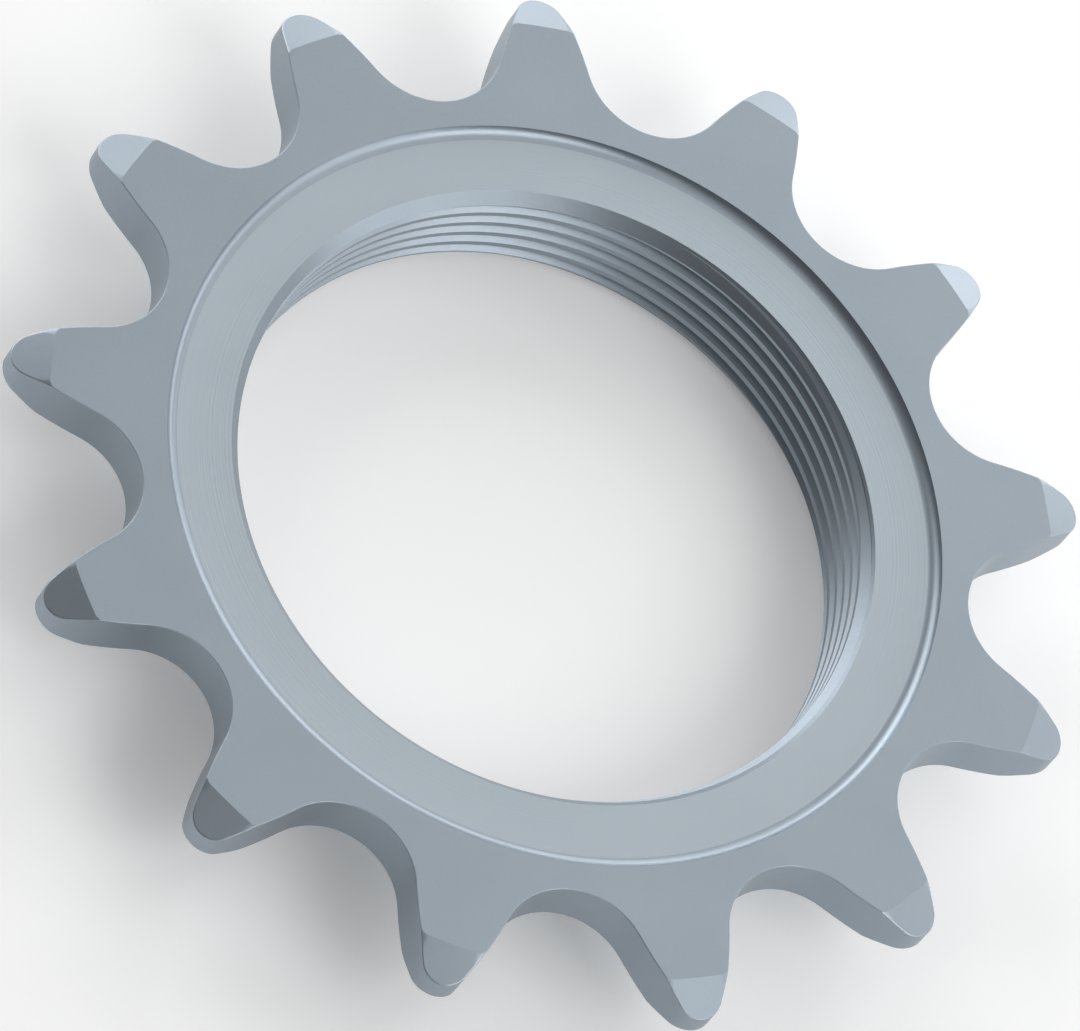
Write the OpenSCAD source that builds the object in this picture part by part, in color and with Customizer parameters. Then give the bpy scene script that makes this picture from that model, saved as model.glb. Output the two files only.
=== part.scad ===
// Single speed cog for a bicycle rear hub, turned and toothed in one piece of steel.
// The bore axis is Z. z = 0 is the hub side end of the boss, +Z is the outer side, and one tooth points
// along +Y. Sizes are in millimetres.

/* [Chain] */
// Number of teeth
teeth = 13; // [13:1:20]
// Chain pitch, from one roller to the next
chain_pitch = 12.7; // [12.6:0.05:12.8]
// Radius of the seat that a roller lies in
seat_r = 3.96; // [3.92:0.01:4.0]
// Half of the angle that a seat wraps round its roller
seat_half_angle = 61; // [58:0.5:63]

/* [Teeth] */
// Radius of the bulged tooth flanks
flank_r = 25; // [21:0.5:29]
// Height of a tooth tip above the pitch circle
tip_rise = 2.75; // [2.5:0.05:2.9]
// Thickness of the toothed plate
plate_t = 2.8; // [2.6:0.05:3.2]
// Distance from the tip circle in to the start of the turned bevels
bevel_w = 2; // [1.5:0.1:2.2]
// Depth of each turned bevel at the tip circle
bevel_h = 0.75; // [0.4:0.05:0.9]

/* [Hub side] */
// Overall thickness along the axis
overall_t = 7.1; // [6.5:0.1:8]
// Outer radius of the boss behind the plate
boss_r = 19.6; // [19:0.1:20]
// Chamfer on the end of the boss
boss_chamfer = 0.5; // [0.3:0.1:0.8]
// Slope where the boss meets the plate
boss_root = 0.7; // [0.4:0.1:1]

/* [Bore] */
// Radius at the crests of the bore's thread, 1.37 inch x 24 threads per inch
bore_r = 16.9; // [16.8:0.01:17]
// Radius of the mouth of both bore chamfers
mouth_r = 17.5; // [17.4:0.05:17.9]
// Depth of the chamfer on the outer side
front_chamfer_h = 0.6; // [0.4:0.05:1]
// Depth of the chamfer on the hub side
back_chamfer_h = 1; // [0.5:0.05:1.2]

/* [Lock ring seat] */
// Depth of the turned recess in the outer face
recess_h = 0.4; // [0.3:0.05:0.6]
// Radius of the recess at the outer face
recess_r = 21.05; // [20.8:0.05:21.4]
// Radius of the concave round between the floor of the recess and its rim
recess_round = 0.7; // [0.5:0.05:1]

/* [Hidden] */
$fn = 120;
tooth_step = 360 / teeth;
pitch_r = chain_pitch / 2 / sin(tooth_step / 2);
tip_r = pitch_r + tip_rise;
face_z = overall_t;
plate_z = overall_t - plate_t;
recess_z = face_z - recess_h;
recess_floor_r = recess_r - sqrt(recess_round ^ 2 - (recess_round - recess_h) ^ 2);
// How far one curve crosses into its neighbour, so that they meet at a clean corner
lap = 0.01;
// How far a cutter runs past the surface that it opens
over = 1;

// The seat beside a tooth, and the direction from its centre to where the seat ends and the flank starts
seat_x = pitch_r * sin(tooth_step / 2);
seat_y = pitch_r * cos(tooth_step / 2);
flank_dir = tooth_step / 2 + seat_half_angle;
flank_x = seat_x - (seat_r + flank_r - lap) * sin(flank_dir);
flank_y = seat_y - (seat_r + flank_r - lap) * cos(flank_dir);
root_r = norm([seat_x - seat_r * sin(flank_dir), seat_y - seat_r * cos(flank_dir)]);

// The round nose of a tooth touches both flanks and the tip circle
nose_gap = tip_r - flank_y;
nose_r = (flank_r ^ 2 - flank_x ^ 2 - nose_gap ^ 2) / 2 / (flank_r - nose_gap);
nose_y = tip_r - nose_r;
nose_join_y = flank_y + flank_r * (nose_y - flank_y) / (flank_r - nose_r);

// One tooth along +Y: the lens between its two flanks, ended by the nose
module tooth_outline() {
    intersection() {
        translate([flank_x, flank_y]) circle(r = flank_r);
        translate([-flank_x, flank_y]) circle(r = flank_r);
        union() {
            translate([0, nose_y]) circle(r = nose_r + lap);
            translate([-flank_r, 0]) square([2 * flank_r, nose_join_y]);
        }
    }
}

// The whole outline: the teeth on their disc, with a round seat cut out between each pair of teeth
module cog_outline() {
    difference() {
        union() {
            circle(r = root_r);
            for (i = [0 : teeth - 1])
                rotate(i * tooth_step) tooth_outline();
        }
        for (i = [0 : teeth - 1])
            rotate((i + 0.5) * tooth_step) translate([0, pitch_r]) circle(r = seat_r);
    }
}

// The bar that the teeth are cut in, turned down to a bevel on each side of its rim
module bevelled_bar() {
    bevel_r = tip_r - bevel_w;
    slope = bevel_h / bevel_w;
    rotate_extrude()
        polygon([
            [0, plate_z],
            [bevel_r, plate_z],
            [tip_r + over, plate_z + slope * (bevel_w + over)],
            [tip_r + over, face_z - slope * (bevel_w + over)],
            [bevel_r, face_z],
            [0, face_z]
        ]);
}

module toothed_plate() {
    intersection() {
        bevelled_bar();
        translate([0, 0, plate_z - over]) linear_extrude(plate_t + 2 * over) cog_outline();
    }
}

// The boss behind the plate, with its sloped root
module boss() {
    rotate_extrude()
        polygon([
            [0, 0],
            [boss_r - boss_chamfer, 0],
            [boss_r, boss_chamfer],
            [boss_r, plate_z - boss_root],
            [boss_r + boss_root, plate_z],
            [boss_r + boss_root, plate_z + plate_t / 2],
            [0, plate_z + plate_t / 2]
        ]);
}

// The bore with its two chamfers, and the shallow recess that a lock ring bears in
module bore_and_recess() {
    mouth_w = mouth_r - bore_r;
    rotate_extrude() {
        polygon([
            [0, -over],
            [mouth_r + mouth_w / back_chamfer_h * over, -over],
            [bore_r, back_chamfer_h],
            [bore_r, recess_z - front_chamfer_h],
            [mouth_r, recess_z],
            [recess_floor_r, recess_z],
            [recess_floor_r, face_z + over],
            [0, face_z + over]
        ]);
        translate([recess_floor_r, recess_z + recess_round]) circle(r = recess_round);
    }
}

module cog() {
    color("silver")
        difference() {
            union() {
                toothed_plate();
                boss();
            }
            bore_and_recess();
        }
}

cog();
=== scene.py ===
"""Looks of the single speed cog: its tapped bore, blasted steel, a pale floor and soft studio light."""
import math

import bmesh
import bpy
from mathutils import Matrix, Vector


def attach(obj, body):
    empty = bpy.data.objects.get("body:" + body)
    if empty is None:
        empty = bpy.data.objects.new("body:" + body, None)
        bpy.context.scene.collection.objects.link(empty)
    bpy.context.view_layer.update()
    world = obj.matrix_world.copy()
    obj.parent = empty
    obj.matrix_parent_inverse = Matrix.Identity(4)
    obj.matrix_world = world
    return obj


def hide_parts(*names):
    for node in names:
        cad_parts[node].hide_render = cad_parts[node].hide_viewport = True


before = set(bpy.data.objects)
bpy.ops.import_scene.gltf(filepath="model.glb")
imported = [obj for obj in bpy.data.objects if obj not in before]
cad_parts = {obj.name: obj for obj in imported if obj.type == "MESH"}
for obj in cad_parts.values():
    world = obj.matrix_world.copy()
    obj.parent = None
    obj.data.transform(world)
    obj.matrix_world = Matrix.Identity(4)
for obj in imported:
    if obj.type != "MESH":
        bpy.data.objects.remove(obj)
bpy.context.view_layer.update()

MM = 0.001
AXIS = Vector((0, 0, 1))

# The cog's driving sizes in millimetres and radians, as its CAD source has them
TEETH = 13
CHAIN_PITCH = 12.7
SEAT_R = 3.96
SEAT_HALF_ANGLE = math.radians(61)
FLANK_R = 25.0
TIP_RISE = 2.75
PLATE_T = 2.8
BEVEL_W = 2.0
BEVEL_H = 0.75
OVERALL_T = 7.1
BOSS_R = 19.6
BOSS_CHAMFER = 0.5
BOSS_ROOT = 0.7
BORE_R = 16.9
MOUTH_R = 17.5
FRONT_CHAMFER_H = 0.6
BACK_CHAMFER_H = 1.0
RECESS_H = 0.4
RECESS_R = 21.05
RECESS_ROUND = 0.7

# Sizes worked out from them
FACE_Z = OVERALL_T
PLATE_Z = OVERALL_T - PLATE_T
MID_Z = PLATE_Z + PLATE_T / 2
RECESS_Z = FACE_Z - RECESS_H
RECESS_RIM_ANGLE = math.acos(1 - RECESS_H / RECESS_ROUND)
RECESS_FLOOR_R = RECESS_R - RECESS_ROUND * math.sin(RECESS_RIM_ANGLE)
TOOTH_STEP = 2 * math.pi / TEETH
PITCH_R = CHAIN_PITCH / 2 / math.sin(TOOTH_STEP / 2)
TIP_R = PITCH_R + TIP_RISE
BEVEL_R = TIP_R - BEVEL_W

# The broken edge round the teeth
EDGE_BREAK = 0.06

# The 1.37 inch x 24 threads per inch thread, raised so that its lines lie as high as in the photograph
THREAD_PITCH = 25.4 / 24
THREAD_DEPTH = 0.5
THREAD_LIFT = 0.26
THREAD_ROOT_FLAT = 0.13
THREAD_FLANK_ANGLE = math.radians(30)

# How far the tap stands out of the wall into the open bore, and how far it runs past both ends
TAP_LAP = 0.15
TAP_OVERRUN = 1.2

# Steps of the seat, flank and nose of half a tooth, of the two small rounds, and of a turn of the thread
SEAT_STEPS = 14
FLANK_STEPS = 8
NOSE_STEPS = 10
EDGE_BREAK_STEPS = 2
RECESS_ROUND_STEPS = 8
TAP_STEPS_PER_TURN = 180

# Points nearer than the first are one point, and the second is wide enough to tell two apart
SAME_POINT = 0.001
HAIR = 0.01

# An edge that turns by more than this is shaded as a corner
SHARP_ANGLE = math.radians(14)


def toward(angle):
    """A unit vector at a clockwise angle from +Y."""
    return Vector((math.sin(angle), math.cos(angle), 0))


def swing(bm, vert, centre, angle, steps):
    """Turns a point clockwise round a centre, leaving an arc of edges behind it, and returns its end."""
    arc = bmesh.ops.spin(bm, geom=[vert], cent=centre, axis=AXIS, angle=-angle, steps=steps, use_merge=False)
    return arc["geom_last"][0]


def tooth_outline(bm):
    """The closed outline at the middle of the plate: half a tooth in three arcs, mirrored, then repeated."""
    middle = Vector((0, 0, MID_Z))
    seat = PITCH_R * toward(TOOTH_STEP / 2) + middle
    flank_way = TOOTH_STEP / 2 + SEAT_HALF_ANGLE
    flank = seat - (SEAT_R + FLANK_R) * toward(flank_way)
    gap = TIP_R - flank.y
    nose_r = (FLANK_R ** 2 - flank.x ** 2 - gap ** 2) / 2 / (FLANK_R - gap)
    nose = Vector((0, TIP_R - nose_r, MID_Z))
    nose_way = math.atan2(nose.x - flank.x, nose.y - flank.y)

    point = bm.verts.new(seat - SEAT_R * toward(TOOTH_STEP / 2))
    point = swing(bm, point, seat, SEAT_HALF_ANGLE, SEAT_STEPS)
    point = swing(bm, point, flank, nose_way - flank_way, FLANK_STEPS)
    swing(bm, point, nose, -nose_way, NOSE_STEPS)
    bmesh.ops.mirror(bm, geom=bm.verts[:] + bm.edges[:], axis="X", merge_dist=SAME_POINT)
    bmesh.ops.spin(bm, geom=bm.verts[:] + bm.edges[:], cent=middle, axis=AXIS, angle=2 * math.pi,
                   steps=TEETH, use_duplicate=True)
    bmesh.ops.remove_doubles(bm, verts=bm.verts[:], dist=SAME_POINT)
    return bm.edges[:]


def face_height(co):
    """Height of the outer tooth face over a point: flat, then falling away along the turned bevel."""
    return FACE_Z - BEVEL_H / BEVEL_W * max(0.0, math.hypot(co.x, co.y) - BEVEL_R)


def extrude_row(bm, row, place):
    """Extrudes a closed row of edges, puts each new point where place says, and returns the new row."""
    new = bmesh.ops.extrude_edge_only(bm, edges=row)["geom"]
    for vert in [item for item in new if isinstance(item, bmesh.types.BMVert)]:
        vert.co = place(vert.co)
    return [item for item in new if isinstance(item, bmesh.types.BMEdge)]


def on_circle(co, r, z):
    """The point of a turned circle that lies straight inwards or outwards from co."""
    flat = Vector((co.x, co.y, 0)).normalized() * r
    return Vector((flat.x, flat.y, z))


def turned_rows(bm, row, circles):
    """Follows a turned profile of (radius, height) circles from a row, and returns its last row."""
    for r, z in circles:
        row = extrude_row(bm, row, lambda co, r=r, z=z: on_circle(co, r, z))
    return row


def break_edge(bm, row):
    """Rounds the edge between the wall and the face over in a few insets, and returns the row on the face."""
    face = bmesh.ops.contextual_create(bm, geom=row)["faces"][0]
    quarter = math.pi / 2 / EDGE_BREAK_STEPS
    for step in range(EDGE_BREAK_STEPS):
        start = step * quarter
        end = (step + 1) * quarter
        inset = EDGE_BREAK * (math.cos(start) - math.cos(end))
        bmesh.ops.inset_individual(bm, faces=[face], thickness=inset, use_even_offset=True)
        for vert in face.verts:
            vert.co.z = face_height(vert.co) - EDGE_BREAK * (1 - math.sin(end))
    row = face.edges[:]
    bmesh.ops.delete(bm, geom=[face], context="FACES_ONLY")
    return row


def start_of_bevel(co):
    """From the edge of a tooth in to the circle where its bevel starts, or a hair in where there is none."""
    r = math.hypot(co.x, co.y)
    return on_circle(co, min(BEVEL_R, r - HAIR), FACE_Z)


def recess_round():
    """The concave round of the recess as turned circles, from its rim down to its floor."""
    circles = []
    for step in reversed(range(RECESS_ROUND_STEPS)):
        angle = RECESS_RIM_ANGLE * step / RECESS_ROUND_STEPS
        r = RECESS_FLOOR_R + RECESS_ROUND * math.sin(angle)
        circles.append((r, RECESS_Z + RECESS_ROUND * (1 - math.cos(angle))))
    return circles


def upper_half(bm):
    """The plate from the middle of its wall over the broken edge and tip bevels to the recess."""
    row = tooth_outline(bm)
    row = extrude_row(bm, row, lambda co: Vector((co.x, co.y, face_height(co) - EDGE_BREAK)))
    row = break_edge(bm, row)
    row = extrude_row(bm, row, start_of_bevel)
    turned_rows(bm, row, [(RECESS_R, FACE_Z)])


def open_row(bm, z):
    """The open edges at one height."""
    rim = [edge for edge in bm.edges if edge.is_boundary]
    return [edge for edge in rim if all(abs(vert.co.z - z) < SAME_POINT for vert in edge.verts)]


def cog_blank():
    """The whole cog with a plain bore, in millimetres."""
    bm = bmesh.new()
    upper_half(bm)
    bmesh.ops.mirror(bm, geom=bm.verts[:] + bm.edges[:] + bm.faces[:], axis="Z",
                     matrix=Matrix.Translation((0, 0, -MID_Z)), merge_dist=SAME_POINT)
    front = turned_rows(bm, open_row(bm, FACE_Z), recess_round() + [
        (MOUTH_R, RECESS_Z),
        (BORE_R, RECESS_Z - FRONT_CHAMFER_H),
    ])
    back = turned_rows(bm, open_row(bm, PLATE_Z), [
        (BOSS_R + BOSS_ROOT, PLATE_Z),
        (BOSS_R, PLATE_Z - BOSS_ROOT),
        (BOSS_R, BOSS_CHAMFER),
        (BOSS_R - BOSS_CHAMFER, 0),
        (MOUTH_R, 0),
        (BORE_R, BACK_CHAMFER_H),
    ])
    bmesh.ops.bridge_loops(bm, edges=front + back)
    bmesh.ops.recalc_face_normals(bm, faces=bm.faces[:])
    return bm


def tap():
    """The helical groove that the thread's tap cuts, a little past both ends of the bore, in millimetres."""
    bm = bmesh.new()
    root_r = BORE_R + THREAD_DEPTH
    mouth = BORE_R - TAP_LAP
    root_half = THREAD_ROOT_FLAT / 2
    mouth_half = root_half + (root_r - mouth) * math.tan(THREAD_FLANK_ANGLE)
    z = THREAD_LIFT - TAP_OVERRUN
    section = [(mouth, -mouth_half), (root_r, -root_half), (root_r, root_half), (mouth, mouth_half)]
    verts = [bm.verts.new((r, 0, z + dz)) for r, dz in section]
    edges = [bm.edges.new((verts[i - 1], verts[i])) for i in range(len(verts))]
    turns = math.ceil((OVERALL_T + 2 * TAP_OVERRUN) / THREAD_PITCH)
    bmesh.ops.spin(bm, geom=verts + edges, cent=(0, 0, 0), axis=AXIS, angle=turns * 2 * math.pi,
                   dvec=AXIS * THREAD_PITCH / TAP_STEPS_PER_TURN, steps=turns * TAP_STEPS_PER_TURN,
                   use_merge=False)
    bmesh.ops.holes_fill(bm, edges=[edge for edge in bm.edges if edge.is_boundary])
    bmesh.ops.recalc_face_normals(bm, faces=bm.faces[:])
    return bm


def to_object(bm, name):
    """Turns a mesh in millimetres into an object in metres."""
    bmesh.ops.scale(bm, vec=(MM, MM, MM), verts=bm.verts[:])
    mesh = bpy.data.meshes.new(name)
    bm.to_mesh(mesh)
    bm.free()
    obj = bpy.data.objects.new(name, mesh)
    bpy.context.collection.objects.link(obj)
    return obj


def tapped_cog():
    """The cog with its thread cut by the tap."""
    cog = to_object(cog_blank(), "cog_metal")
    cutter = to_object(tap(), "tap")
    cut = cog.modifiers.new("thread", "BOOLEAN")
    cut.operation = "DIFFERENCE"
    cut.solver = "EXACT"
    cut.object = cutter
    threaded = bpy.data.meshes.new_from_object(cog.evaluated_get(bpy.context.evaluated_depsgraph_get()))
    cog.modifiers.clear()
    cog.data = threaded
    bpy.data.objects.remove(cutter)
    threaded.shade_smooth()
    threaded.set_sharp_from_angle(angle=SHARP_ANGLE)
    return cog


# The steel's colours, each from its darker patches to its lighter ones
BLASTED_DARK = (0.300, 0.352, 0.398, 1)
BLASTED_LIGHT = (0.350, 0.398, 0.446, 1)
LATHED_DARK = (0.386, 0.440, 0.483, 1)
LATHED_LIGHT = (0.427, 0.480, 0.524, 1)

# Noise scales per metre: the colour's patches, the grains of the blasting and the rings of the lathe
PATCH_SCALE = 160
PATCH_DETAIL = 3
GRAIN_SCALE = 5200
GRAIN_DETAIL = 4
RING_SCALE = 9000

# How rough the steel is in the grain's hollows and on its peaks, and how deep grains and rings look
ROUGHNESS_MIN = 0.37
ROUGHNESS_MAX = 0.46
RELIEF_STRENGTH = 0.25
RELIEF_DEPTH = 0.02 * MM


def distance_from_axis(nodes, links, place):
    """How far a place on the metal is from the bore's axis, in metres."""
    flat = nodes.new("ShaderNodeVectorMath")
    flat.operation = "MULTIPLY"
    flat.inputs[1].default_value = (1, 1, 0)
    links.new(place, flat.inputs[0])
    radius = nodes.new("ShaderNodeVectorMath")
    radius.operation = "LENGTH"
    links.new(flat.outputs["Vector"], radius.inputs[0])
    return radius.outputs["Value"]


def turned_zone(nodes, links, radius):
    """1 between the circle of the bore's mouth and that of the recess's floor, and 0 elsewhere."""
    zone = nodes.new("ShaderNodeMath")
    zone.operation = "COMPARE"
    zone.inputs[1].default_value = (RECESS_FLOOR_R + MOUTH_R) / 2 * MM
    zone.inputs[2].default_value = (RECESS_FLOOR_R - MOUTH_R) / 2 * MM
    links.new(radius, zone.inputs[0])
    return zone.outputs["Value"]


def even_noise(nodes, links, place, scale, detail):
    """Noise that is the same in all directions."""
    noise = nodes.new("ShaderNodeTexNoise")
    noise.inputs["Scale"].default_value = scale
    noise.inputs["Detail"].default_value = detail
    links.new(place, noise.inputs["Vector"])
    return noise.outputs["Fac"]


def lathe_rings(nodes, links, radius):
    """Noise that changes with the distance from the axis alone, as fine rings."""
    rings = nodes.new("ShaderNodeTexNoise")
    rings.noise_dimensions = "1D"
    rings.inputs["Scale"].default_value = RING_SCALE
    links.new(radius, rings.inputs["W"])
    return rings.outputs["Fac"]


def colour_mix(nodes, links, amount, first, second):
    """A mix of two colours, each of them a value or another node's output."""
    mix = nodes.new("ShaderNodeMix")
    mix.data_type = "RGBA"
    links.new(amount, mix.inputs["Factor"])
    for name, colour in (("A", first), ("B", second)):
        if isinstance(colour, bpy.types.NodeSocket):
            links.new(colour, mix.inputs[name])
        else:
            mix.inputs[name].default_value = colour
    return mix.outputs["Result"]


def satin_steel():
    """Cool grey steel: evenly blasted, but lighter and finely ringed where it is turned round the bore."""
    mat = bpy.data.materials.new("satin_steel")
    mat.use_nodes = True
    nodes = mat.node_tree.nodes
    links = mat.node_tree.links
    shader = nodes["Principled BSDF"]
    shader.inputs["Metallic"].default_value = 1.0

    place = nodes.new("ShaderNodeTexCoord").outputs["Object"]
    radius = distance_from_axis(nodes, links, place)
    turned = turned_zone(nodes, links, radius)
    grain = even_noise(nodes, links, place, GRAIN_SCALE, GRAIN_DETAIL)
    patches = even_noise(nodes, links, place, PATCH_SCALE, PATCH_DETAIL)

    blasted = colour_mix(nodes, links, patches, BLASTED_DARK, BLASTED_LIGHT)
    lathed = colour_mix(nodes, links, patches, LATHED_DARK, LATHED_LIGHT)
    links.new(colour_mix(nodes, links, turned, blasted, lathed), shader.inputs["Base Color"])

    gloss = nodes.new("ShaderNodeMapRange")
    gloss.inputs["To Min"].default_value = ROUGHNESS_MIN
    gloss.inputs["To Max"].default_value = ROUGHNESS_MAX
    links.new(grain, gloss.inputs["Value"])
    links.new(gloss.outputs["Result"], shader.inputs["Roughness"])

    relief = nodes.new("ShaderNodeMix")
    links.new(turned, relief.inputs["Factor"])
    links.new(grain, relief.inputs["A"])
    links.new(lathe_rings(nodes, links, radius), relief.inputs["B"])
    bump = nodes.new("ShaderNodeBump")
    bump.inputs["Strength"].default_value = RELIEF_STRENGTH
    bump.inputs["Distance"].default_value = RELIEF_DEPTH
    links.new(relief.outputs["Result"], bump.inputs["Height"])
    links.new(bump.outputs["Normal"], shader.inputs["Normal"])
    return mat


# The photograph's camera: where it looks, from which side, how far it is turned, and its long lens
CAMERA_AZIMUTH = math.radians(-34.84)
CAMERA_ELEVATION = math.radians(55.38)
CAMERA_ROLL = math.radians(-38.30)
CAMERA_AIM = Vector((-0.56, -0.84, 5.7)) * MM
CAMERA_DISTANCE = 555.6 * MM
CAMERA_LENS = 364.0
SENSOR_WIDTH = 36.0
CLIP_START = 10 * MM
CLIP_END = 100.0


def direction(azimuth, elevation):
    """The unit vector from the cog towards an azimuth and elevation, azimuth 0 being -Y."""
    return Vector((math.sin(azimuth) * math.cos(elevation), -math.cos(azimuth) * math.cos(elevation),
                   math.sin(elevation)))


def set_camera():
    """The photograph's view of the cog, made the scene's camera."""
    data = bpy.data.cameras.new("camera")
    data.lens = CAMERA_LENS
    data.sensor_width = SENSOR_WIDTH
    data.clip_start = CLIP_START
    data.clip_end = CLIP_END
    camera = bpy.data.objects.new("camera", data)
    back = direction(CAMERA_AZIMUTH, CAMERA_ELEVATION)
    level = Vector((math.cos(CAMERA_AZIMUTH), math.sin(CAMERA_AZIMUTH), 0))
    rise = back.cross(level)
    turn = Matrix((level, rise, back)).transposed().to_4x4() @ Matrix.Rotation(-CAMERA_ROLL, 4, "Z")
    camera.matrix_world = Matrix.Translation(CAMERA_AIM + back * CAMERA_DISTANCE) @ turn
    bpy.context.collection.objects.link(camera)
    bpy.context.scene.camera = camera


# The floor's reach each way in millimetres, its finish, and its glow to the camera and in the metal
FLOOR_REACH = 3000
FLOOR_COLOUR = (0.88, 0.88, 0.88, 1)
FLOOR_ROUGHNESS = 0.9
FLOOR_GLOW = 0.2

# The dim light from all round, and its colour, which is the glow's too
ROOM_LIGHT = 0.15
WHITE = (1, 1, 1, 1)

# The softboxes: azimuth and elevation in degrees, width and height in metres, and power in watts
SOFTBOXES = {
    "far_right_box": (150, 27, 0.7, 0.6, 2.7),
    "far_low_box": (187, 10, 0.9, 0.3, 2.3),
    "far_left_box": (210, 27, 0.7, 0.6, 3.2),
    "right_low_box": (120, 10, 0.9, 0.3, 1.9),
    "right_box": (90, 27, 0.6, 0.6, 1.4),
    "right_high_box": (120, 63, 0.6, 0.6, 1.15),
    "near_right_box": (40, 45, 0.6, 0.6, 3.5),
    "near_low_box": (60, 10, 0.6, 0.3, 1.4),
    "top_box": (0, 85, 0.6, 0.6, 0.45),
}


def pale_floor():
    """The near-white finish of the floor."""
    mat = bpy.data.materials.new("pale_floor")
    mat.use_nodes = True
    nodes = mat.node_tree.nodes
    links = mat.node_tree.links
    shader = nodes["Principled BSDF"]
    shader.inputs["Base Color"].default_value = FLOOR_COLOUR
    shader.inputs["Roughness"].default_value = FLOOR_ROUGHNESS
    shader.inputs["Specular IOR Level"].default_value = 0.0
    shader.inputs["Emission Color"].default_value = WHITE
    path = nodes.new("ShaderNodeLightPath")
    seen = nodes.new("ShaderNodeMath")
    seen.operation = "MAXIMUM"
    links.new(path.outputs["Is Camera Ray"], seen.inputs[0])
    links.new(path.outputs["Is Glossy Ray"], seen.inputs[1])
    glow = nodes.new("ShaderNodeMath")
    glow.operation = "MULTIPLY"
    glow.inputs[1].default_value = FLOOR_GLOW
    links.new(seen.outputs["Value"], glow.inputs[0])
    links.new(glow.outputs["Value"], shader.inputs["Emission Strength"])
    return mat


def softbox(name, azimuth, elevation, width, height, power):
    """A soft lamp a metre away that faces the cog."""
    data = bpy.data.lights.new(name, "AREA")
    data.shape = "RECTANGLE"
    data.size = width
    data.size_y = height
    data.energy = power
    lamp = bpy.data.objects.new(name, data)
    back = direction(math.radians(azimuth), math.radians(elevation))
    lamp.location = back
    lamp.rotation_euler = back.to_track_quat("Z", "Y").to_euler()
    bpy.context.collection.objects.link(lamp)


def studio():
    """A pale floor, dim all-round light and the softboxes."""
    bm = bmesh.new()
    bmesh.ops.create_grid(bm, x_segments=1, y_segments=1, size=FLOOR_REACH)
    floor = to_object(bm, "floor")
    floor.data.materials.append(pale_floor())
    world = bpy.data.worlds.new("studio")
    world.use_nodes = True
    backdrop = world.node_tree.nodes["Background"]
    backdrop.inputs["Color"].default_value = WHITE
    backdrop.inputs["Strength"].default_value = ROOM_LIGHT
    bpy.context.scene.world = world
    for name, setting in SOFTBOXES.items():
        softbox(name, *setting)


set_camera()
bpy.context.scene.view_settings.view_transform = "Standard"
studio()

cog_metal = tapped_cog()
cog_metal.data.materials.append(satin_steel())
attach(cog_metal, "root")
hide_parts("cog")
